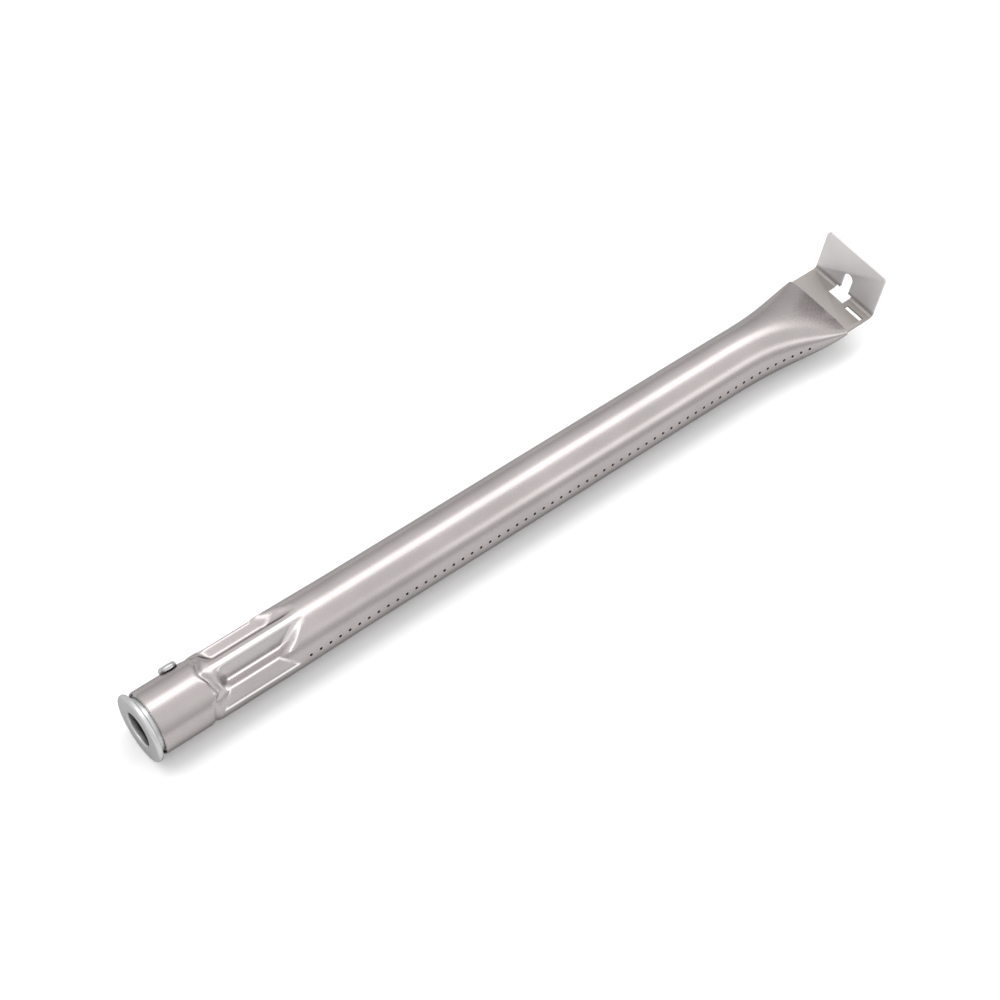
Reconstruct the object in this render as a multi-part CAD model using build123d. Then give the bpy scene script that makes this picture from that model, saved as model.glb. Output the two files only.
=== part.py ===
"""Stainless steel tube burner of a gas grill: inlet cap, pressed venturi tube, rear bracket.

Frame: the origin is the centre of the inlet cap's front face, +X runs along the tube
towards the rear bracket, +Z is up. Millimetres.
"""
import math
import os

from build123d import *

# Tube
TUBE_DIAMETER = 25.4
TUBE_RADIUS = TUBE_DIAMETER / 2
WALL = 0.7
TUBE_START = 4.2
TUBE_END = 344.0
SECTION_POINTS = 120

# Inlet collar: the first stretch of the tube, swaged slightly wider
COLLAR_RADIUS = 13.0
COLLAR_END = 24.0
COLLAR_STEP = 0.12            # the collar ends in a small step down
BELLY_END = 60.0              # the tube keeps the collar's size up to here
TAPER_PORTS = 6               # and is down to its own diameter after this many ports

# Neck: a shallow groove round the tube behind the collar. Its place and depth by angle.
NECK_PLACES = [(-90, 26.2), (10, 26.2), (31, 27.5), (44, 30.0), (65, 28.8), (90, 27.4)]
NECK_DEPTHS = [(-90, 0.6), (0, 0.7), (29, 0.5), (44, 0.9), (75, 1.2), (90, 0.8)]
NECK_HALF_WIDTH = 1.3

# Pressed venturi, the same on both sides of the tube. An angle is measured about the
# tube's axis, up from the horizontal on that side: 90 is the top of the tube.
NECK_STEP = 0.8
VENTURI_START = 36.5
VENTURI_STEP = 1.5
VENTURI_END = 74.0
PRESS_ENTRY = 31.5            # the channel starts here
PRESS_ENTRY_LENGTH = 4.0
PRESS_EXIT_LOW = 64.0         # the exit ramp ends here at the lower ridge ...
PRESS_EXIT_HIGH = 73.0        # ... and here at the top of the tube
PRESS_EXIT_LENGTH = 8.0
FACET_START_LOW = 29.3
FACET_START_HIGH = 33.5
FACET_END_LOW = 63.0
FACET_END_HIGH = 56.4
FACET_RAMP = 2.0
FACET_ANGLE = 6.0             # lower edge of the flat facet
RIDGE_ANGLE = 39.0
VALLEY_ANGLE = 50.0
SHOULDER_ANGLE = 81.0
RIDGE_RADIUS = 12.9
VALLEY_RADIUS = 7.7
SHOULDER_RADIUS = 12.3
CREST_RADIUS = 12.5

# Flattened rear end
FLATTEN_PORT = 48             # the tube is round up to just past this port
FLATTEN_SAG = 1.2             # the section's middle dips this far on the way to the end
END_HALF_HEIGHT = 2.4
END_HALF_WIDTH = 18.1
END_SQUARENESS = 3.0          # exponent of the end's superellipse, 2 is an ellipse

# Gas ports, one straight row on each side
PORT_COUNT = 58
PORT_FIRST_X = 68.0
PORT_PITCH = 4.5
PORT_DIAMETER = 1.2
PORT_ANGLE = 10.0

# Inlet cap
RIM_RADIUS = 14.1
RIM_THICKNESS = 2.2
RIM_EDGE_ROUND = 0.7
CAP_SHEET = 0.9
ORIFICE_RADIUS = 7.0
ORIFICE_DEPTH = 2.4
ORIFICE_EDGE_ROUND = 0.35
SKIRT_CLEARANCE = 0.05
SKIRT_RADIUS = COLLAR_RADIUS - WALL - SKIRT_CLEARANCE
SKIRT_SHEET = 0.8
SKIRT_END = 23.5

# Cap screw
SCREW_X = 20.8
SCREW_ANGLE = 32.0            # up from the horizontal, on the +Y side
SCREW_HEAD_RADIUS = 3.6
SCREW_HEAD_HEIGHT = 1.9
SCREW_SHANK_RADIUS = 2.0
SCREW_HOLE_RADIUS = 2.05
SCREW_TIP_RADIUS = 10.6       # distance of the screw's tip from the tube's axis
SCREW_SEAT_GAP = 0.02
RECESS_WIDTH = 0.9
RECESS_LENGTH = 4.2
RECESS_DEPTH = 1.1

# Rear bracket: a strip gripped in the flattened end, bent up into a tab
STRIP_SHEET = 1.0
STRIP_WIDTH = 34.6
STRIP_START = 332.0
STRIP_TONGUE_X = 344.1        # the strip is narrower inside the tube, up to here
STRIP_TONGUE_WIDTH = 29.6
BEND_X = 359.5
BEND_RADIUS = 1.6             # inside radius
TAB_HEIGHT = 22.5
TAB_LEAN = 6.0                # degrees past vertical, away from the tube
TAB_CORNER = 2.2
CROSS_SLOT_START = 354.1      # wide foot of the inverted T, in the strip
CROSS_SLOT_WIDTH = 9.0
STEM_WIDTH = 5.0              # stem of the inverted T, in the tab
STEM_TOP = 10.6
NARROW_SLOT_START = 353.0
NARROW_SLOT_END = 355.3
NARROW_SLOT_OUTER_Y = -16.0
NARROW_SLOT_INNER_Y = -6.7


def smooth(t):
    """Eased step from 0 to 1."""
    t = min(max(t, 0.0), 1.0)
    return t * t * (3.0 - 2.0 * t)


def mix(a, b, t):
    return a + (b - a) * min(max(t, 0.0), 1.0)


def chord_radius(angle, angle_a, radius_a, angle_b, radius_b):
    """Distance from the axis to the straight line between two polar points."""
    a = math.radians(angle - angle_a)
    b = math.radians(angle_b - angle)
    span = math.radians(angle_b - angle_a)
    return radius_a * radius_b * math.sin(span) / (radius_a * math.sin(a) + radius_b * math.sin(b))


def past_port(index):
    """Place half a pitch past a port, where a section never crosses a hole."""
    return PORT_FIRST_X + PORT_PITCH * (index + 0.5)


def round_radius(x):
    """The tube's radius before it is pressed."""
    taper = (x - BELLY_END) / (past_port(TAPER_PORTS) - BELLY_END)
    return mix(COLLAR_RADIUS, TUBE_RADIUS, smooth(taper))


def by_angle(values, angle):
    """Value at an angle, eased between the given (angle, value) pairs."""
    for (angle_a, value_a), (angle_b, value_b) in zip(values, values[1:]):
        if angle <= angle_b:
            return mix(value_a, value_b, smooth((angle - angle_a) / (angle_b - angle_a)))
    return values[-1][1]


def neck_depth(x, angle):
    """How deep the groove behind the collar is at a place."""
    away = (x - by_angle(NECK_PLACES, angle)) / NECK_HALF_WIDTH
    return by_angle(NECK_DEPTHS, angle) * math.exp(-away * away)


def pressed_radius(angle, belly_radius):
    """The fully pressed section: round belly, flat facet, ridge, valley and crest."""
    corners = [
        (FACET_ANGLE, belly_radius),
        (RIDGE_ANGLE, RIDGE_RADIUS),
        (VALLEY_ANGLE, VALLEY_RADIUS),
        (SHOULDER_ANGLE, SHOULDER_RADIUS),
        (90.0, CREST_RADIUS),
    ]
    if angle <= FACET_ANGLE:
        return belly_radius
    for (angle_a, radius_a), (angle_b, radius_b) in zip(corners, corners[1:]):
        if angle <= angle_b:
            return chord_radius(angle, angle_a, radius_a, angle_b, radius_b)
    return CREST_RADIUS


def press_amount(x, angle):
    """How far the press has gone in at a place: 0 is the round tube, 1 is the full section."""
    if angle <= RIDGE_ANGLE:
        across = (angle - FACET_ANGLE) / (RIDGE_ANGLE - FACET_ANGLE)
        start = mix(FACET_START_LOW, FACET_START_HIGH, across)
        end = mix(FACET_END_LOW, FACET_END_HIGH, across)
        return smooth((x - start) / FACET_RAMP) * smooth((end - x) / FACET_RAMP)
    rise = smooth((x - PRESS_ENTRY) / PRESS_ENTRY_LENGTH)
    across = (angle - RIDGE_ANGLE) / (SHOULDER_ANGLE - RIDGE_ANGLE)
    exit_x = mix(PRESS_EXIT_LOW, PRESS_EXIT_HIGH, across)
    return rise * smooth((exit_x - x) / PRESS_EXIT_LENGTH)


def venturi_point(x, turn, inset):
    """Point of the pressed skin. turn goes once round the tube from the -Y side over the top."""
    y = -math.cos(turn)
    z = math.sin(turn)
    angle = math.degrees(math.atan2(z, abs(y)))
    belly = round_radius(x)
    amount = press_amount(x, angle)
    radius = belly + amount * (pressed_radius(angle, belly) - belly)
    radius -= neck_depth(x, angle) + inset
    return Vector(x, radius * y, radius * z)


def flat_shape(x):
    """Half width, half height, squareness and middle height of the section near the rear end."""
    start = past_port(FLATTEN_PORT)
    t = min(max((x - start) / (TUBE_END - start), 0.0), 1.0)
    eased = t**3
    half_height = mix(TUBE_RADIUS, END_HALF_HEIGHT, eased)
    full_width = math.sqrt(2 * TUBE_RADIUS**2 - END_HALF_HEIGHT**2)
    half_width = math.sqrt(2 * TUBE_RADIUS**2 - half_height**2)
    half_width += (END_HALF_WIDTH - full_width) * eased
    middle = -FLATTEN_SAG * 27 / 4 * t * t * (1.0 - t)
    return half_width, half_height, mix(2.0, END_SQUARENESS, eased), middle


def flat_point(x, turn, inset):
    """Point of the skin on the round and flattened stretches."""
    half_width, half_height, squareness, middle = flat_shape(x)
    power = 2.0 / squareness
    y = -math.copysign(abs(math.cos(turn)) ** power, math.cos(turn))
    z = math.copysign(abs(math.sin(turn)) ** power, math.sin(turn))
    return Vector(x, (half_width - inset) * y, middle + (half_height - inset) * z)


def section(x, inset):
    place = venturi_point if x < past_port(FLATTEN_PORT) else flat_point
    turns = [math.tau * i / SECTION_POINTS for i in range(SECTION_POINTS)]
    return Wire([Edge.make_spline([place(x, turn, inset) for turn in turns], periodic=True)])


def steps(start, end, step):
    """Even places from start up to but not including end."""
    count = round((end - start) / step)
    return [start + (end - start) * i / count for i in range(count)]


def tube_stations():
    """Places past the collar with a section of their own; the skin is straight in between."""
    neck = steps(COLLAR_END + NECK_STEP, VENTURI_START, NECK_STEP)
    venturi = steps(VENTURI_START, VENTURI_END + VENTURI_STEP, VENTURI_STEP)
    taper = [past_port(index) for index in range(1, TAPER_PORTS + 1)]
    flattened = [past_port(index) for index in range(FLATTEN_PORT, PORT_COUNT + 3)]
    return neck + venturi + taper + flattened + [TUBE_END]


def port_place(index):
    """Where a port's axis crosses the skin on the -Y side."""
    x = PORT_FIRST_X + PORT_PITCH * index
    half_width, half_height, squareness, middle = flat_shape(x)
    power = 2.0 / squareness
    turn = math.radians(PORT_ANGLE)
    y = half_width * math.cos(turn) ** power
    return x, y, middle + half_height * math.sin(turn) ** power


def port_drills():
    drills = []
    for index in range(PORT_COUNT):
        x, y, z = port_place(index)
        for side in (-1, 1):
            outward = Vector(0, side * y, z).normalized()
            root = Vector(x, side * y, z) - outward * (2 * WALL)
            plane = Plane(origin=root, x_dir=(1, 0, 0), z_dir=outward)
            drills.append(Solid.make_cylinder(PORT_DIAMETER / 2, 4 * WALL, plane))
    return drills


def screw_plane(radius):
    """Plane across the screw at a distance from the tube's axis, facing out."""
    turn = math.radians(SCREW_ANGLE)
    outward = Vector(0, math.cos(turn), math.sin(turn))
    return Plane(origin=Vector(SCREW_X, 0, 0) + outward * radius, z_dir=outward)


def ring(radius, thickness, start, end):
    """Plain round stretch of sheet metal tube along X."""
    outside = Plane(origin=(start, 0, 0), z_dir=(1, 0, 0))
    outer = Solid.make_cylinder(radius, end - start, outside)
    return outer - Solid.make_cylinder(radius - thickness, end - start, outside)


def burner_tube():
    stations = tube_stations()
    skin = [section(COLLAR_END, COLLAR_STEP)] + [section(x, 0.0) for x in stations]
    bore = [section(COLLAR_END, WALL + COLLAR_STEP)] + [section(x, WALL) for x in stations]
    tube = Solid.make_loft(skin, ruled=True) - Solid.make_loft(bore, ruled=True)
    tube += ring(COLLAR_RADIUS, WALL, TUBE_START, COLLAR_END)
    drills = port_drills()
    drills.append(Solid.make_cylinder(SCREW_HOLE_RADIUS, 4, screw_plane(COLLAR_RADIUS - 2)))
    return tube.cut(*drills)


def inlet_cap():
    """Disc with a rolled rim, an orifice hole with a turned-in lip, and a skirt in the tube."""
    skirt_inside = SKIRT_RADIUS - SKIRT_SHEET
    lip_outside = ORIFICE_RADIUS + CAP_SHEET
    outline = Polyline(
        (0, ORIFICE_RADIUS),
        (0, RIM_RADIUS),
        (RIM_THICKNESS, RIM_RADIUS),
        (RIM_THICKNESS, SKIRT_RADIUS),
        (SKIRT_END, SKIRT_RADIUS),
        (SKIRT_END, skirt_inside),
        (CAP_SHEET, skirt_inside),
        (CAP_SHEET, lip_outside),
        (ORIFICE_DEPTH, lip_outside),
        (ORIFICE_DEPTH, ORIFICE_RADIUS),
        close=True,
    )
    cap = revolve(make_face(outline), Axis.X)
    rims = [e for e in cap.edges().filter_by(GeomType.CIRCLE) if abs(e.radius - RIM_RADIUS) < 0.01]
    cap = fillet(rims, RIM_EDGE_ROUND)
    mouth = [
        e for e in cap.edges().filter_by(GeomType.CIRCLE)
        if abs(e.radius - ORIFICE_RADIUS) < 0.01 and e.center().X < 0.01
    ]
    cap = fillet(mouth, ORIFICE_EDGE_ROUND)
    return cap - Solid.make_cylinder(SCREW_HOLE_RADIUS, 4, screw_plane(SKIRT_RADIUS - 2))


def cap_screw():
    """Pan-head screw with a cross recess."""
    seat = COLLAR_RADIUS + SCREW_SEAT_GAP
    shank = Solid.make_cylinder(
        SCREW_SHANK_RADIUS, seat - SCREW_TIP_RADIUS, screw_plane(SCREW_TIP_RADIUS)
    )
    head = Solid.make_cylinder(SCREW_HEAD_RADIUS, SCREW_HEAD_HEIGHT, screw_plane(seat))
    top = head.edges().filter_by(GeomType.CIRCLE).sort_by(Axis((0, 0, 0), screw_plane(0).z_dir))[-1]
    head = fillet([top], SCREW_HEAD_HEIGHT * 0.6)
    floor = screw_plane(seat + SCREW_HEAD_HEIGHT - RECESS_DEPTH)
    for size in ((RECESS_LENGTH, RECESS_WIDTH), (RECESS_WIDTH, RECESS_LENGTH)):
        head -= extrude(floor * Rectangle(*size), RECESS_DEPTH * 2, dir=floor.z_dir)
    return head + shank


def bracket_profile():
    """Side outline of the bent sheet, in the XZ plane."""
    lean = math.radians(TAB_LEAN)
    line = FilletPolyline(
        (STRIP_START, 0),
        (BEND_X, 0),
        (BEND_X + TAB_HEIGHT * math.sin(lean), TAB_HEIGHT * math.cos(lean)),
        radius=BEND_RADIUS + STRIP_SHEET / 2,
    )
    return Plane.XZ * line


def tab_plane():
    """Plane of the tab: its x runs along +Y and its y up the tab."""
    lean = math.radians(TAB_LEAN)
    return Plane(
        origin=(BEND_X, 0, 0),
        x_dir=(0, 1, 0),
        z_dir=(math.cos(lean), 0, -math.sin(lean)),
    )


def through(face_plane, shape):
    """A shape on a plane made into a cutter that passes both faces of the sheet."""
    return extrude(face_plane * shape, 1.5 * STRIP_SHEET, both=True)


def slot(x_start, x_end, y_start, y_end):
    """Rectangular hole through the strip."""
    middle = Pos((x_start + x_end) / 2, (y_start + y_end) / 2)
    return through(Plane.XY, middle * Rectangle(x_end - x_start, y_end - y_start))


def rear_bracket():
    path = bracket_profile()
    start = Plane(origin=(STRIP_START, 0, 0), x_dir=(0, 1, 0), z_dir=(1, 0, 0))
    sheet = sweep(start * Rectangle(STRIP_WIDTH, STRIP_SHEET), path=path)
    corners = sheet.edges().filter_by(Axis((0, 0, 0), tab_plane().z_dir)).sort_by(Axis.Z)[-2:]
    sheet = fillet(corners, TAB_CORNER)
    half_width = STRIP_WIDTH / 2
    half_tongue = STRIP_TONGUE_WIDTH / 2
    sheet -= slot(STRIP_START, STRIP_TONGUE_X, half_tongue, half_width)
    sheet -= slot(STRIP_START, STRIP_TONGUE_X, -half_width, -half_tongue)
    foot_end = BEND_X + STRIP_SHEET
    sheet -= slot(CROSS_SLOT_START, foot_end, -CROSS_SLOT_WIDTH / 2, CROSS_SLOT_WIDTH / 2)
    stem_middle = STEM_TOP - STEM_WIDTH / 2
    stem = Pos(0, stem_middle / 2) * Rectangle(STEM_WIDTH, stem_middle)
    stem += Pos(0, stem_middle) * Circle(STEM_WIDTH / 2)
    sheet -= through(tab_plane(), stem)
    sheet -= slot(NARROW_SLOT_START, NARROW_SLOT_END, NARROW_SLOT_OUTER_Y, NARROW_SLOT_INNER_Y)
    return sheet


def main():
    os.makedirs("parts", exist_ok=True)
    pieces = {
        "burner_tube": burner_tube,
        "inlet_cap": inlet_cap,
        "cap_screw": cap_screw,
        "rear_bracket": rear_bracket,
    }
    for name, build in pieces.items():
        shape = build()
        export_step(shape, f"parts/{name}.step")
        print(name, len(shape.solids()), round(shape.volume, 1))


main()
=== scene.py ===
"""Looks of the tube burner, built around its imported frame. Metres, same frame as the model."""
import math

import bmesh
import bpy
from mathutils import Matrix, Vector


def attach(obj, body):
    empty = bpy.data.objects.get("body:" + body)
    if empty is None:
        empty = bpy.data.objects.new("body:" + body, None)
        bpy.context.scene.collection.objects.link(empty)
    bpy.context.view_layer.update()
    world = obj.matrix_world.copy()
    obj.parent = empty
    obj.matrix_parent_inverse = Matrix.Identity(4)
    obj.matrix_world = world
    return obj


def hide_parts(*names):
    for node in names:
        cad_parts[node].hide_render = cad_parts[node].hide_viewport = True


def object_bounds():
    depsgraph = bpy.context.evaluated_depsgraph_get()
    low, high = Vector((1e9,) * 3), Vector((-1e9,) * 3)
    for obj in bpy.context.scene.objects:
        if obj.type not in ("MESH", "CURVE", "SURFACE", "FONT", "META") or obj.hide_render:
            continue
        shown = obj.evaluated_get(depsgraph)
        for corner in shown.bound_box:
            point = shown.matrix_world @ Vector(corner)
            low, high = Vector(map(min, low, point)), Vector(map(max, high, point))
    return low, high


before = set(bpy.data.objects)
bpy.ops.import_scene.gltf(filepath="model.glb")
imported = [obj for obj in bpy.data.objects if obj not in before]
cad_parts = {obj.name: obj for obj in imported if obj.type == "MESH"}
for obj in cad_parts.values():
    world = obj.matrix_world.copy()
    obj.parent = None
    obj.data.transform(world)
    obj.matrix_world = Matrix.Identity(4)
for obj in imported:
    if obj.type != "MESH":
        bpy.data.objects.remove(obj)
cad_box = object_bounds()
MM = 0.001

# ---------------------------------------------------------------- tube
# Lengths in millimetres. Angles in degrees, up from the horizontal on either side.
TUBE_RADIUS = 12.7
WALL = 0.7
TUBE_START = 4.2
TUBE_END = 344.0
COLLAR_RADIUS = 13.0          # the collar is swaged slightly wider than the tube
COLLAR_END = 24.0
BELLY_END = 60.0              # behind it the tube keeps nearly that size, up to here
TAPER_END = 97.25             # and has the tube's from here
LIP_LENGTH = 1.4              # the front edge turns in over this length
LIP_DEPTH = 0.55

# Neck: a shallow groove behind the collar, as (angle, place) and (angle, depth)
NECK_PLACES = [(-90, 26.2), (10, 26.2), (31, 27.5), (44, 30.0), (65, 28.8), (90, 27.4)]
NECK_DEPTHS = [(-90, 0.6), (0, 0.7), (29, 0.5), (44, 0.9), (75, 1.2), (90, 0.8)]
NECK_HALF_WIDTH = 1.3

# Venturi, pressed in each side: a flat facet, then a channel between ridge and shoulder
FACET_ANGLE = 6.0             # the facet's lower edge
RIDGE_ANGLE = 39.0            # its upper edge, where the channel begins
VALLEY_ANGLE = 51.0
SHOULDER_ANGLE = 81.0
RIDGE_RADIUS = 12.9
VALLEY_RADIUS = 8.4
SHOULDER_RADIUS = 12.3
CREST_RADIUS = 12.5
FACET_START_LOW = 29.3        # the facet is a trapezium: its ends along its lower edge
FACET_END_LOW = 63.0
FACET_START_HIGH = 33.5       # and along the ridge
FACET_END_HIGH = 56.4
FACET_RAMP = 1.0
LEDGE_SPAN = 4.2              # degrees from the facet's lower edge to the foot of its ledge
LEDGE_DROP = 0.6
PRESS_ENTRY = 30.2            # the channel's front end
PRESS_ENTRY_LENGTH = 6.6
PRESS_EXIT_LOW = 64.0         # its rear end slants, from the ridge
PRESS_EXIT_HIGH = 73.0        # to the shoulder
PRESS_EXIT_LENGTH = 8.0
EDGE_ROUND = 1.8              # degrees each way over which the section's corners are rounded
VALLEY_ROUND = 5.0            # and at the valley
VALLEY_ROUND_SPAN = 9.0       # degrees from the valley to where the smaller rounding holds
ROUND_OFFSETS = [-1.0, -0.6, -0.25, 0.0, 0.25, 0.6, 1.0]

# Painted highlight: bright lines painted along the facet's edges and a faint painted sheen on the
# channel's walls, on the -Y side only
HIGHLIGHT_WIDTH = 0.42          # half width of the painted highlight lines along the facet
HIGHLIGHT_INSET = 0.5           # the lines lie this far inside the facet's ends
HIGHLIGHT_MARGIN = 3.0          # how far past the pressing any painted highlight reaches
HIGHLIGHT_LOWEST = -5.0         # degrees
EDGE_HIGHLIGHT = [1.0, 0.9, 0.5, 0.9]    # painted highlight strength along: lower edge, front end, ridge, rear end
CHANNEL_SHEEN = 0.22         # painted sheen on the channel's walls, a little all over
CHANNEL_SHEEN_SPAN = 6.0     # degrees above the ridge over which that begins

# Rear end, flattened about the bracket
FLATTEN_START = 286.25
FLATTEN_SAG = 1.2             # how far its middle line dips on the way
END_HALF_HEIGHT = 2.4
END_HALF_WIDTH = 18.1
END_SQUARENESS = 3.0          # 2 is an ellipse, and more is squarer

# Gas ports, one row on each side
PORT_COUNT = 58
PORT_FIRST_X = 68.0
PORT_PITCH = 4.5
PORT_RADIUS = 0.65
PORT_ANGLE = 10.0

# Mesh of the tube: spacing along it in millimetres, and round it in degrees
LIP_STEPS = [0.05, 0.2, 0.45, 0.9]    # distances behind the front edge
COLLAR_MESH_STEP = 3.0
VENTURI_MESH_STEP = 0.4
REAR_MESH_STEP = 1.5
CELL_STEP = 0.5625            # columns of the cell that a port sits in
CELL_COLUMNS = 4
CELL_ROWS = 8
ANGLE_STEP = 2.5
FINE_ANGLE_STEP = 1.25        # from just below the ports up to the crest
FINE_ANGLE_FROM = 5.0

# ---------------------------------------------------------------- inlet cap, millimetres
RIM_RADIUS = 14.1
RIM_THICKNESS = 2.2
CAP_SHEET = 0.9
ORIFICE_RADIUS = 7.0
ORIFICE_DEPTH = 2.4           # the hole's lip is this long
SKIRT_RADIUS = 12.25
SKIRT_SHEET = 0.8
SKIRT_END = 23.5
GROOVE_RADIUS = 11.2          # the skirt is necked in behind the rim
GROOVE_END = 5.2
GROOVE_RAMP = 0.6
CAP_SEGMENTS = 144

# ---------------------------------------------------------------- finishes
SCREW_EDGE = 0.08             # rounding of the edges, millimetres
BRACKET_EDGE = 0.12
TUBE_COLOR = (0.365, 0.337, 0.334)
CAP_COLOR = (0.50, 0.50, 0.50)
BRACKET_COLOR = (0.62, 0.60, 0.60)
SCREW_COLOR = (0.43, 0.43, 0.43)
STRIP_PAINTED_SHADE = (0.33, 0.31, 0.295, 1.0)  # painted shade: a darker straw colour on the flat strip and its bend
STRIP_SHADE_TOP = 1.0           # heights, in millimetres, between which the painted shade fades out
STRIP_SHADE_END = 4.0
# painted highlight colour, mixed into the base colour along the pressed facet's edges
PAINTED_HIGHLIGHT_COLOR = (0.88, 0.86, 0.855, 1.0)
EDGE_REFLECTION = (0.5, 0.5, 0.5, 1.0)    # tint of the metal's glancing reflections
ALONG_X = (1, 0, 0)           # grain drawn out along the tube
EVEN = (0, 0, 0)              # no direction
GRAIN_STRETCH = 0.03
GRAIN_RELIEF = 0.02
GRAIN_HEIGHT = 0.0001         # metres
ROUGHNESS_SPREAD = 0.05
CLOUD_SCALE = 45.0            # soft patches of tone, in patches per metre
CLOUD_DARK = 0.94
CLOUD_LIGHT = 1.05
CLOUD_RAMP = (0.3, 0.7)

# ---------------------------------------------------------------- stage
FLOOR_SIZE = 60.0
FLOOR_COLOR = (0.8, 0.8, 0.8)
FLOOR_ROUGHNESS = 0.95
HORIZON_LIGHT = 0.8           # light of the surroundings, brighter overhead
ZENITH_LIGHT = 1.4
ZENITH_FROM = 0.75            # height on the unit sphere at which it is at its brightest

# The camera: direction from the object, roll, distance and aim, in degrees and metres
CAMERA_AZIMUTH = -43.3
CAMERA_ELEVATION = 54.1
CAMERA_ROLL = 5.6
CAMERA_DISTANCE = 0.8207
CAMERA_AIM = (-0.0089, -0.0034)      # right and up from the middle of the tube
CAMERA_MIDDLE = (0.18, 0.0, 0.0)
CAMERA_FOCAL_RATIO = 2.0648          # focal length over picture width
CAMERA_SENSOR = 36.0                 # millimetres
CAMERA_NEAREST = 0.01


def smooth(t):
    """Eases from 0 to 1."""
    t = min(max(t, 0.0), 1.0)
    return t * t * (3.0 - 2.0 * t)


def mix(a, b, t):
    """From a to b as t goes from 0 to 1, and no further."""
    return a + (b - a) * min(max(t, 0.0), 1.0)


def chord_radius(angle, angle_a, radius_a, angle_b, radius_b):
    """Distance from the axis to the straight line between two polar points."""
    a = math.radians(angle - angle_a)
    b = math.radians(angle_b - angle)
    span = math.radians(angle_b - angle_a)
    return radius_a * radius_b * math.sin(span) / (radius_a * math.sin(a) + radius_b * math.sin(b))


def round_radius(x):
    """The tube's radius where nothing is pressed in it."""
    return mix(COLLAR_RADIUS, TUBE_RADIUS, smooth((x - BELLY_END) / (TAPER_END - BELLY_END)))


def by_angle(values, angle):
    """Value at an angle, eased between the given (angle, value) pairs."""
    for (angle_a, value_a), (angle_b, value_b) in zip(values, values[1:]):
        if angle <= angle_b:
            return mix(value_a, value_b, smooth((angle - angle_a) / (angle_b - angle_a)))
    return values[-1][1]


def neck_depth(x, angle):
    """Depth of the groove behind the collar."""
    away = (x - by_angle(NECK_PLACES, angle)) / NECK_HALF_WIDTH
    return by_angle(NECK_DEPTHS, angle) * math.exp(-away * away)


def pressed_radius(angle, belly):
    """The fully pressed section: round belly, flat facet, ridge, valley and crest."""
    corners = [
        (FACET_ANGLE, belly),
        (FACET_ANGLE + LEDGE_SPAN, belly - LEDGE_DROP),
        (RIDGE_ANGLE, RIDGE_RADIUS),
        (VALLEY_ANGLE, VALLEY_RADIUS),
        (SHOULDER_ANGLE, SHOULDER_RADIUS),
        (90.0, CREST_RADIUS),
    ]
    if angle <= FACET_ANGLE:
        return belly
    for (angle_a, radius_a), (angle_b, radius_b) in zip(corners, corners[1:]):
        if angle <= angle_b:
            return chord_radius(angle, angle_a, radius_a, angle_b, radius_b)
    return CREST_RADIUS


def rounded_radius(angle, belly):
    """The pressed section with its corners rounded, as a mean over nearby angles."""
    spread = mix(VALLEY_ROUND, EDGE_ROUND, abs(angle - VALLEY_ANGLE) / VALLEY_ROUND_SPAN)
    total = 0.0
    for offset in ROUND_OFFSETS:
        near = angle + offset * spread
        near = 180.0 - near if near > 90.0 else near
        total += pressed_radius(near, belly)
    return total / len(ROUND_OFFSETS)


def press_amount(x, angle):
    """How fully the section is pressed at a place, from 0 to 1."""
    if angle <= RIDGE_ANGLE:
        across = (angle - FACET_ANGLE) / (RIDGE_ANGLE - FACET_ANGLE)
        start = mix(FACET_START_LOW, FACET_START_HIGH, across)
        end = mix(FACET_END_LOW, FACET_END_HIGH, across)
        return smooth((x - start) / FACET_RAMP) * smooth((end - x) / FACET_RAMP)
    rise = smooth((x - PRESS_ENTRY) / PRESS_ENTRY_LENGTH)
    across = (angle - RIDGE_ANGLE) / (SHOULDER_ANGLE - RIDGE_ANGLE)
    exit_x = mix(PRESS_EXIT_LOW, PRESS_EXIT_HIGH, across)
    return rise * smooth((exit_x - x) / PRESS_EXIT_LENGTH)


def lip_round(x):
    """The tube's front edge turns in a little."""
    away = min(max((x - TUBE_START) / LIP_LENGTH, 0.0), 1.0)
    return LIP_DEPTH * (1.0 - math.sqrt(1.0 - (1.0 - away) ** 2))


def venturi_point(x, turn):
    """Point of the skin from the front edge up to where the tube flattens."""
    y = -math.cos(turn)
    z = math.sin(turn)
    angle = math.degrees(math.atan2(z, abs(y)))
    belly = round_radius(x)
    radius = belly + press_amount(x, angle) * (rounded_radius(angle, belly) - belly)
    radius -= neck_depth(x, angle) + lip_round(x)
    return Vector((x, radius * y, radius * z))


def flat_point(x, turn):
    """Point of the skin where the round section turns into the flat, squarish end."""
    t = min(max((x - FLATTEN_START) / (TUBE_END - FLATTEN_START), 0.0), 1.0)
    eased = t**3
    # t * t * (1 - t) is at most 4 / 27, so the sag is the whole dip
    middle = -FLATTEN_SAG * 27 / 4 * t * t * (1.0 - t)
    half_height = mix(TUBE_RADIUS, END_HALF_HEIGHT, eased)
    full_width = math.sqrt(2 * TUBE_RADIUS**2 - END_HALF_HEIGHT**2)
    half_width = math.sqrt(2 * TUBE_RADIUS**2 - half_height**2)
    half_width += (END_HALF_WIDTH - full_width) * eased
    power = 2.0 / mix(2.0, END_SQUARENESS, eased)
    y = -math.copysign(abs(math.cos(turn)) ** power, math.cos(turn))
    z = math.copysign(abs(math.sin(turn)) ** power, math.sin(turn))
    return Vector((x, half_width * y, middle + half_height * z))


def tube_point(x, turn_degrees):
    """Point of the skin in metres. The turn is 0 at -Y, 90 at the top and 180 at +Y."""
    turn = math.radians(turn_degrees)
    place = venturi_point if x < FLATTEN_START else flat_point
    return place(x, turn) * MM


def steps(start, end, step):
    """Evenly spaced places from start up to, and without, end."""
    count = max(1, round((end - start) / step))
    return [start + (end - start) * i / count for i in range(count)]


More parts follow.
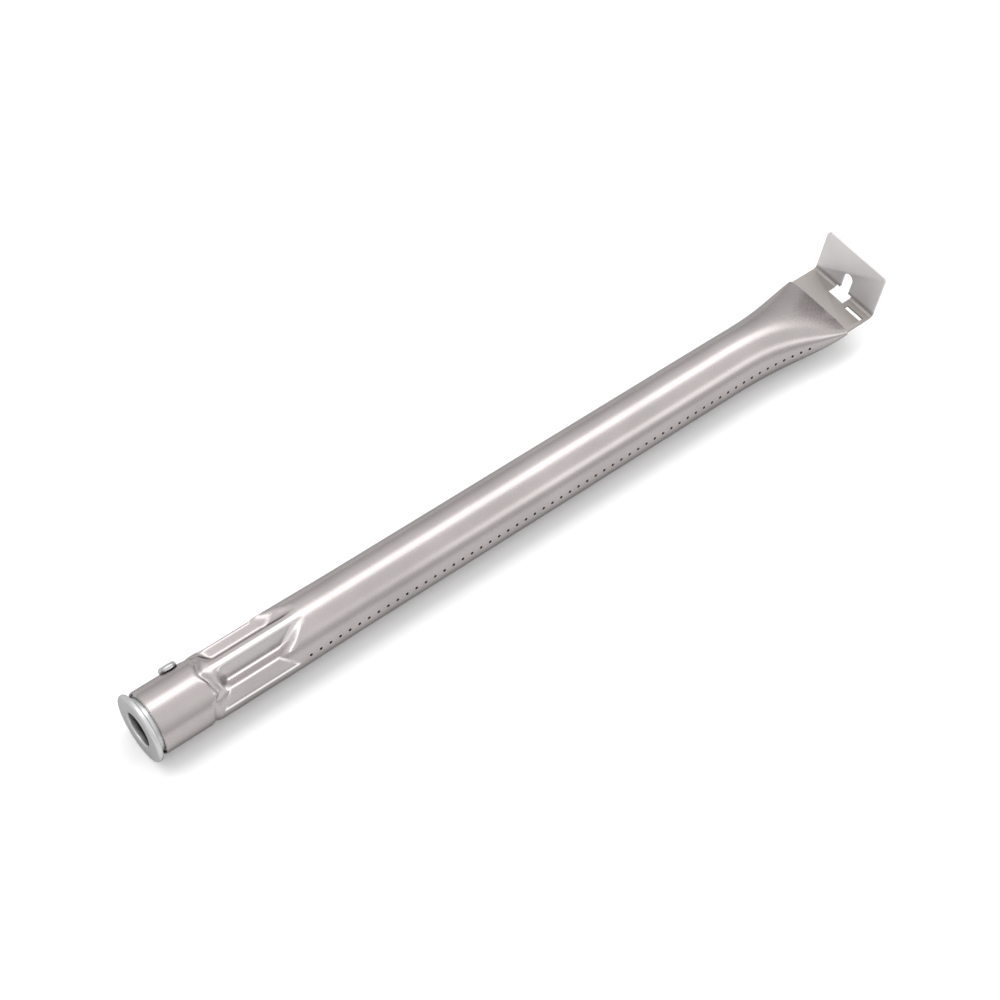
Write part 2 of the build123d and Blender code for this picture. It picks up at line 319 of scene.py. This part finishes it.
def along_tube():
    """Places along the tube. Each port has a cell of four columns centred on it."""
    half = CELL_COLUMNS / 2 * CELL_STEP
    first = PORT_FIRST_X - half
    places = [TUBE_START + away for away in LIP_STEPS]
    places += steps(TUBE_START + LIP_LENGTH, COLLAR_END, COLLAR_MESH_STEP)
    places += steps(COLLAR_END, first, VENTURI_MESH_STEP)
    cells = []
    for index in range(PORT_COUNT):
        x = PORT_FIRST_X + PORT_PITCH * index
        cells.append(len(places))
        places += [x - half + CELL_STEP * i for i in range(CELL_COLUMNS + 1)]
    places += steps(places[-1] + REAR_MESH_STEP, TUBE_END, REAR_MESH_STEP) + [TUBE_END]
    return places, cells


def round_tube():
    """Angles once round the tube, and the rows where the two port cells start."""
    half = steps(-90.0, FINE_ANGLE_FROM, ANGLE_STEP) + steps(FINE_ANGLE_FROM, 90.0, FINE_ANGLE_STEP)
    near = half + [90.0]
    far = [180.0 - angle for angle in reversed(near[1:-1])]
    turns = near + far
    reach = CELL_ROWS / 2 * FINE_ANGLE_STEP
    near_row = turns.index(PORT_ANGLE - reach)
    far_row = turns.index(180.0 - PORT_ANGLE - reach)
    return turns, (near_row, far_row)


# ---------------------------------------------------------------- mesh helpers
def make_object(name, vertices, faces):
    """A new object in the scene, from its points and faces."""
    mesh = bpy.data.meshes.new(name)
    mesh.from_pydata([tuple(v) for v in vertices], [], faces)
    mesh.validate()
    piece = bpy.data.objects.new(name, mesh)
    bpy.context.scene.collection.objects.link(piece)
    return piece


def settle(piece, sharp_degrees=35.0):
    """Turns the piece's modifiers into plain mesh, shaded smooth with crisp edges."""
    bpy.context.view_layer.update()
    evaluated = piece.evaluated_get(bpy.context.evaluated_depsgraph_get())
    mesh = bpy.data.meshes.new_from_object(evaluated)
    piece.modifiers.clear()
    piece.data = mesh
    mesh.shade_smooth()
    mesh.set_sharp_from_angle(angle=math.radians(sharp_degrees))
    return piece


def thicken(piece, thickness):
    """Gives a skin its sheet thickness, towards the inside."""
    solid = piece.modifiers.new("sheet", "SOLIDIFY")
    solid.thickness = thickness * MM
    solid.offset = -1.0
    solid.use_even_offset = True


def bevel(piece, width, segments=2, degrees=40.0):
    """Rounds the edges that are sharper than the given angle."""
    edge = piece.modifiers.new("edges", "BEVEL")
    edge.width = width * MM
    edge.segments = segments
    edge.limit_method = "ANGLE"
    edge.angle_limit = math.radians(degrees)


def arc_corner(before, corner, after, radius, segments):
    """Points of the arc that rounds one corner of an outline."""
    a = (Vector(before) - Vector(corner)).normalized()
    b = (Vector(after) - Vector(corner)).normalized()
    half = a.angle(b) / 2
    centre = Vector(corner) + (a + b).normalized() * radius / math.sin(half)
    first = (Vector(corner) + a * radius / math.tan(half) - centre).normalized()
    last = (Vector(corner) + b * radius / math.tan(half) - centre).normalized()
    return [centre + first.slerp(last, i / segments) * radius for i in range(segments + 1)]


def rounded_outline(corners, segments=5):
    """Closed outline from (x, r, rounding) corners."""
    outline = []
    for i, (x, r, rounding) in enumerate(corners):
        before = corners[i - 1][:2]
        after = corners[(i + 1) % len(corners)][:2]
        if rounding:
            outline += arc_corner(before, (x, r), after, rounding, segments)
        else:
            outline.append(Vector((x, r)))
    return outline


def lathe(name, outline, around):
    """Closed outline of (x, r) points turned about the X axis."""
    vertices = []
    faces = []
    count = len(outline)
    for i in range(around):
        turn = math.tau * i / around
        for point in outline:
            x, r = point * MM
            vertices.append((x, r * math.cos(turn), r * math.sin(turn)))
    for i in range(around):
        a = i * count
        b = (i + 1) % around * count
        for j in range(count):
            k = (j + 1) % count
            faces.append((a + j, b + j, b + k, a + k))
    piece = make_object(name, vertices, faces)
    fix_normals(piece)
    return piece


def fix_normals(piece):
    """Makes all faces look outward."""
    shape = bmesh.new()
    shape.from_mesh(piece.data)
    bmesh.ops.recalc_face_normals(shape, faces=shape.faces)
    shape.to_mesh(piece.data)
    shape.free()


def sheet_from_node(name, node, edge_round):
    """The node's own shape with its flat faces merged and its edges rounded."""
    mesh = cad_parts[node].data.copy()
    shape = bmesh.new()
    shape.from_mesh(mesh)
    bmesh.ops.remove_doubles(shape, verts=shape.verts, dist=1e-6)
    bmesh.ops.dissolve_limit(
        shape, angle_limit=math.radians(1.0), verts=shape.verts, edges=shape.edges
    )
    shape.to_mesh(mesh)
    shape.free()
    mesh.materials.clear()
    piece = bpy.data.objects.new(name, mesh)
    bpy.context.scene.collection.objects.link(piece)
    bevel(piece, edge_round)
    return settle(piece, 30.0)


# ---------------------------------------------------------------- pieces
def port_ring(vertices, x, turn):
    """Adds the points of a port's edge, each towards one point of its cell's border."""
    arc_per_degree = (tube_point(x, turn + 0.5) - tube_point(x, turn - 0.5)).length / MM
    numbers = []
    for column, row in cell_border(0, 0):
        phase = math.atan2(row / CELL_ROWS - 0.5, column / CELL_COLUMNS - 0.5)
        across = PORT_RADIUS * math.sin(phase) / arc_per_degree
        numbers.append(len(vertices))
        vertices.append(tube_point(x + PORT_RADIUS * math.cos(phase), turn + across))
    return numbers


def cell_border(i, j):
    """Grid places once round a port's cell."""
    border = [(CELL_COLUMNS, row) for row in range(CELL_ROWS)]
    border += [(CELL_COLUMNS - column, CELL_ROWS) for column in range(CELL_COLUMNS)]
    border += [(0, CELL_ROWS - row) for row in range(CELL_ROWS)]
    border += [(column, 0) for column in range(CELL_COLUMNS)]
    return [(i + column, j + row) for column, row in border]


def segment_distance(place, start, end):
    """Distance from a place to the straight line between two others."""
    along = min(max((place - start).dot(end - start) / (end - start).length_squared, 0.0), 1.0)
    return (place - start.lerp(end, along)).length


def painted_highlight(x, turn):
    """Strength of the painted highlight at a place: bright lines along the facet's outline and a
    faint painted sheen in the channel, on the -Y side only.
    """
    angle = math.degrees(math.asin(math.sin(math.radians(turn))))
    near_side = math.cos(math.radians(turn)) > 0.0
    along = FACET_START_LOW - HIGHLIGHT_MARGIN < x < PRESS_EXIT_HIGH + HIGHLIGHT_MARGIN
    if not (near_side and along and angle > HIGHLIGHT_LOWEST):
        return 0.0
    arc = math.radians(1.0) * COLLAR_RADIUS     # millimetres round the tube per degree
    outline = [
        Vector((FACET_START_LOW + HIGHLIGHT_INSET, FACET_ANGLE * arc)),
        Vector((FACET_START_HIGH + HIGHLIGHT_INSET, RIDGE_ANGLE * arc)),
        Vector((FACET_END_HIGH - HIGHLIGHT_INSET, RIDGE_ANGLE * arc)),
        Vector((FACET_END_LOW - HIGHLIGHT_INSET, FACET_ANGLE * arc)),
    ]
    place = Vector((x, angle * arc))
    above_ridge = smooth((angle - RIDGE_ANGLE) / CHANNEL_SHEEN_SPAN)
    highlight_amount = CHANNEL_SHEEN * press_amount(x, angle) * above_ridge
    for i, strength in enumerate(EDGE_HIGHLIGHT):
        away = segment_distance(place, outline[i - 1], outline[i])
        highlight_amount = max(highlight_amount, strength * math.exp(-(away / HIGHLIGHT_WIDTH) ** 2))
    return highlight_amount


def skin_faces(columns, around, cells, rows):
    """Faces of the tube's grid, left open where a port has its cell."""
    holes = {(i + a, j + b) for i in cells for j in rows
             for a in range(CELL_COLUMNS) for b in range(CELL_ROWS)}
    faces = []
    for i in range(columns - 1):
        for j in range(around):
            if (i, j) in holes:
                continue
            k = (j + 1) % around
            a = i * around
            b = a + around
            faces.append((a + j, b + j, b + k, a + k))
    return faces


def port_faces(vertices, x, turn, border):
    """Faces between a port's edge and its cell's border. Adds the edge's points."""
    ring = port_ring(vertices, x, turn)
    faces = []
    for n in range(len(ring)):
        m = (n + 1) % len(ring)
        faces.append((ring[n], border[n], border[m], ring[m]))
    return faces


def drop_loose_points(piece):
    """Removes the points inside the ports' cells, which no face uses."""
    shape = bmesh.new()
    shape.from_mesh(piece.data)
    loose = [point for point in shape.verts if not point.link_faces]
    bmesh.ops.delete(shape, geom=loose, context="VERTS")
    shape.to_mesh(piece.data)
    shape.free()


def burner_tube():
    """The drawn tube: collar, venturi, two rows of ports and flattened end."""
    places, cells = along_tube()
    turns, rows = round_tube()
    around = len(turns)
    vertices = [tube_point(x, turn) for x in places for turn in turns]
    faces = skin_faces(len(places), around, cells, rows)
    for i in cells:
        for j in rows:
            border = [a * around + b for a, b in cell_border(i, j)]
            x = places[i + CELL_COLUMNS // 2]
            faces += port_faces(vertices, x, turns[j + CELL_ROWS // 2], border)
    piece = make_object("burner_tube_skin", vertices, faces)
    # per-point strength of the painted highlight, read by the steel's shader
    highlight_amount = piece.data.attributes.new("painted_highlight", "FLOAT", "POINT")
    grid = [painted_highlight(x, turn) for x in places for turn in turns]
    highlight_amount.data.foreach_set("value", grid + [0.0] * (len(vertices) - len(grid)))
    drop_loose_points(piece)
    thicken(piece, WALL)
    return settle(piece)


def inlet_cap():
    """Disc with a rolled rim, a lipped orifice hole and a skirt that goes in the tube."""
    inside = SKIRT_RADIUS - SKIRT_SHEET
    lip = ORIFICE_RADIUS + CAP_SHEET
    outline = rounded_outline([
        (0, ORIFICE_RADIUS, 0.6),
        (0, RIM_RADIUS, 1.0),
        (RIM_THICKNESS, RIM_RADIUS, 0.9),
        (RIM_THICKNESS, GROOVE_RADIUS, 0.3),
        (GROOVE_END - GROOVE_RAMP, GROOVE_RADIUS, 0.3),
        (GROOVE_END, SKIRT_RADIUS, 0.3),
        (SKIRT_END, SKIRT_RADIUS, 0.1),
        (SKIRT_END, inside, 0.1),
        (GROOVE_END, inside, 0.3),
        (GROOVE_END - GROOVE_RAMP, GROOVE_RADIUS - SKIRT_SHEET, 0.3),
        (CAP_SHEET, GROOVE_RADIUS - SKIRT_SHEET, 0.5),
        (CAP_SHEET, lip, 0.3),
        (ORIFICE_DEPTH, lip, 0.1),
        (ORIFICE_DEPTH, ORIFICE_RADIUS, 0.1),
    ])
    return settle(lathe("inlet_cap_shell", outline, CAP_SEGMENTS))


# ---------------------------------------------------------------- materials
def steel(name, color, roughness, grain, direction):
    """Satin stainless steel: fine grain along one direction, cloudy tone, and painted highlights
    where a piece carries them.
    """
    material = bpy.data.materials.new(name)
    material.use_nodes = True
    nodes = material.node_tree.nodes
    links = material.node_tree.links
    shader = nodes["Principled BSDF"]
    shader.inputs["Metallic"].default_value = 1.0
    shader.inputs["Specular Tint"].default_value = EDGE_REFLECTION
    place = nodes.new("ShaderNodeTexCoord")
    stretch = nodes.new("ShaderNodeMapping")
    stretch.inputs["Scale"].default_value = [
        grain * (GRAIN_STRETCH if along else 1.0) for along in direction
    ]
    links.new(place.outputs["Object"], stretch.inputs["Vector"])
    streaks = nodes.new("ShaderNodeTexNoise")
    streaks.inputs["Scale"].default_value = 1.0
    streaks.inputs["Detail"].default_value = 4.0
    streaks.inputs["Roughness"].default_value = 0.6
    links.new(stretch.outputs["Vector"], streaks.inputs["Vector"])
    clouds = nodes.new("ShaderNodeTexNoise")
    clouds.inputs["Scale"].default_value = CLOUD_SCALE
    clouds.inputs["Detail"].default_value = 3.0
    links.new(place.outputs["Object"], clouds.inputs["Vector"])

    rough_streaks = nodes.new("ShaderNodeMapRange")
    rough_streaks.inputs["To Min"].default_value = roughness - ROUGHNESS_SPREAD
    rough_streaks.inputs["To Max"].default_value = roughness + ROUGHNESS_SPREAD
    links.new(streaks.outputs["Fac"], rough_streaks.inputs["Value"])
    links.new(rough_streaks.outputs["Result"], shader.inputs["Roughness"])

    tone = nodes.new("ShaderNodeValToRGB")
    dark = [c * CLOUD_DARK for c in color]
    light = [min(1.0, c * CLOUD_LIGHT) for c in color]
    tone.color_ramp.elements[0].position = CLOUD_RAMP[0]
    tone.color_ramp.elements[0].color = (dark[0], dark[1], dark[2], 1.0)
    tone.color_ramp.elements[1].position = CLOUD_RAMP[1]
    tone.color_ramp.elements[1].color = (light[0], light[1], light[2], 1.0)
    links.new(clouds.outputs["Fac"], tone.inputs["Fac"])

    # painted highlight: the per-point strength mixes a bright colour into the base colour
    highlight_amount = nodes.new("ShaderNodeAttribute")
    highlight_amount.attribute_name = "painted_highlight"
    bright = nodes.new("ShaderNodeMix")
    bright.data_type = "RGBA"
    bright.inputs["B"].default_value = PAINTED_HIGHLIGHT_COLOR
    links.new(highlight_amount.outputs["Fac"], bright.inputs["Factor"])
    links.new(tone.outputs["Color"], bright.inputs["A"])
    links.new(bright.outputs["Result"], shader.inputs["Base Color"])

    bump = nodes.new("ShaderNodeBump")
    bump.inputs["Strength"].default_value = GRAIN_RELIEF
    bump.inputs["Distance"].default_value = GRAIN_HEIGHT
    links.new(streaks.outputs["Fac"], bump.inputs["Height"])
    links.new(bump.outputs["Normal"], shader.inputs["Normal"])
    return material


def paint_strip_shade(material):
    """Paints shade on the flat strip by the tube's end and on its bend, up to the tab's foot."""
    nodes = material.node_tree.nodes
    links = material.node_tree.links
    shader = nodes["Principled BSDF"]
    plain = shader.inputs["Base Color"].links[0].from_socket
    place = nodes.new("ShaderNodeTexCoord")
    split = nodes.new("ShaderNodeSeparateXYZ")
    links.new(place.outputs["Object"], split.inputs["Vector"])
    height = nodes.new("ShaderNodeMapRange")
    height.interpolation_type = "SMOOTHSTEP"
    height.inputs["From Min"].default_value = STRIP_SHADE_TOP * MM
    height.inputs["From Max"].default_value = STRIP_SHADE_END * MM
    links.new(split.outputs["Z"], height.inputs["Value"])
    shaded = nodes.new("ShaderNodeMix")
    shaded.data_type = "RGBA"
    shaded.inputs["A"].default_value = STRIP_PAINTED_SHADE
    links.new(height.outputs["Result"], shaded.inputs["Factor"])
    links.new(plain, shaded.inputs["B"])
    links.new(shaded.outputs["Result"], shader.inputs["Base Color"])


def finish_piece(piece, node, material):
    """Gives a piece its material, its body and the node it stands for."""
    piece.data.materials.clear()
    piece.data.materials.append(material)
    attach(piece, "root")
    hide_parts(node)


def dress():
    """All the pieces, each with its own steel."""
    tube_steel = steel("tube_steel", TUBE_COLOR, 0.27, 2500.0, ALONG_X)
    cap_steel = steel("cap_steel", CAP_COLOR, 0.38, 1500.0, EVEN)
    bracket_steel = steel("bracket_steel", BRACKET_COLOR, 0.62, 2500.0, EVEN)
    # painted shade on the bracket's strip and bend, darker than the tab
    paint_strip_shade(bracket_steel)
    screw_steel = steel("screw_steel", SCREW_COLOR, 0.25, 3000.0, EVEN)
    finish_piece(burner_tube(), "burner_tube", tube_steel)
    finish_piece(inlet_cap(), "inlet_cap", cap_steel)
    screw = sheet_from_node("cap_screw_head", "cap_screw", SCREW_EDGE)
    finish_piece(screw, "cap_screw", screw_steel)
    bracket = sheet_from_node("rear_bracket_sheet", "rear_bracket", BRACKET_EDGE)
    finish_piece(bracket, "rear_bracket", bracket_steel)


# ---------------------------------------------------------------- surroundings
def plain_material(name, color, roughness):
    """A dull material of one colour."""
    material = bpy.data.materials.new(name)
    material.use_nodes = True
    shader = material.node_tree.nodes["Principled BSDF"]
    shader.inputs["Base Color"].default_value = (*color, 1.0)
    shader.inputs["Roughness"].default_value = roughness
    return material


def floor(height):
    """Wide pale floor that the burner lies on."""
    half = FLOOR_SIZE / 2
    corners = [(-half, -half, height), (half, -half, height)]
    corners += [(half, half, height), (-half, half, height)]
    plane = make_object("floor", corners, [(0, 1, 2, 3)])
    plane.data.materials.append(plain_material("pale_floor", FLOOR_COLOR, FLOOR_ROUGHNESS))


def softbox(name, degrees, distance, start, end, width, power):
    """Area light beside the tube, from start to end along it, facing it.

    degrees is its direction from the tube's axis, up from the -Y horizontal.
    """
    light = bpy.data.lights.new(name, "AREA")
    light.shape = "RECTANGLE"
    light.size = end - start
    light.size_y = width
    light.energy = power
    lamp = bpy.data.objects.new(name, light)
    bpy.context.scene.collection.objects.link(lamp)
    turn = math.radians(degrees)
    away = Vector((0.0, -math.cos(turn), math.sin(turn)))
    along = Vector((1.0, 0.0, 0.0))
    facing = Matrix((along, away.cross(along), away)).transposed().to_4x4()
    place = away * distance + along * (start + end) / 2
    lamp.matrix_world = Matrix.Translation(place) @ facing


def lighting():
    """Two softboxes and the light of the surroundings."""
    softbox("overhead", degrees=106.0, distance=0.9, start=-0.6, end=1.4, width=0.40, power=5.2)
    softbox("side", degrees=32.0, distance=1.1, start=0.55, end=1.5, width=0.32, power=1.5)
    world = bpy.data.worlds.new("studio")
    world.use_nodes = True
    nodes = world.node_tree.nodes
    links = world.node_tree.links
    place = nodes.new("ShaderNodeTexCoord")
    split = nodes.new("ShaderNodeSeparateXYZ")
    links.new(place.outputs["Generated"], split.inputs["Vector"])
    height = nodes.new("ShaderNodeMapRange")
    height.interpolation_type = "SMOOTHSTEP"
    height.inputs["From Max"].default_value = ZENITH_FROM
    height.inputs["To Min"].default_value = HORIZON_LIGHT
    height.inputs["To Max"].default_value = ZENITH_LIGHT
    links.new(split.outputs["Z"], height.inputs["Value"])
    links.new(height.outputs["Result"], nodes["Background"].inputs["Strength"])
    nodes["Background"].inputs["Color"].default_value = (1.0, 1.0, 1.0, 1.0)
    bpy.context.scene.world = world
    bpy.context.scene.view_settings.view_transform = "Standard"


def camera():
    """The camera, placed by its direction from the middle of the tube."""
    azimuth = math.radians(CAMERA_AZIMUTH)
    elevation = math.radians(CAMERA_ELEVATION)
    roll = math.radians(CAMERA_ROLL)
    back = Vector((
        math.sin(azimuth) * math.cos(elevation),
        -math.cos(azimuth) * math.cos(elevation),
        math.sin(elevation),
    ))
    level = Vector((math.cos(azimuth), math.sin(azimuth), 0.0))
    upright = back.cross(level)
    right = level * math.cos(roll) + upright * math.sin(roll)
    up = upright * math.cos(roll) - level * math.sin(roll)
    aim = Vector(CAMERA_MIDDLE) + right * CAMERA_AIM[0] + up * CAMERA_AIM[1]
    data = bpy.data.cameras.new("camera")
    data.sensor_width = CAMERA_SENSOR
    data.lens = CAMERA_SENSOR * CAMERA_FOCAL_RATIO
    data.clip_start = CAMERA_NEAREST
    eye = bpy.data.objects.new("camera", data)
    bpy.context.scene.collection.objects.link(eye)
    turn = Matrix((right, up, back)).transposed().to_4x4()
    eye.matrix_world = Matrix.Translation(aim + back * CAMERA_DISTANCE) @ turn
    bpy.context.scene.camera = eye


dress()
floor(cad_box[0][2])
lighting()
camera()
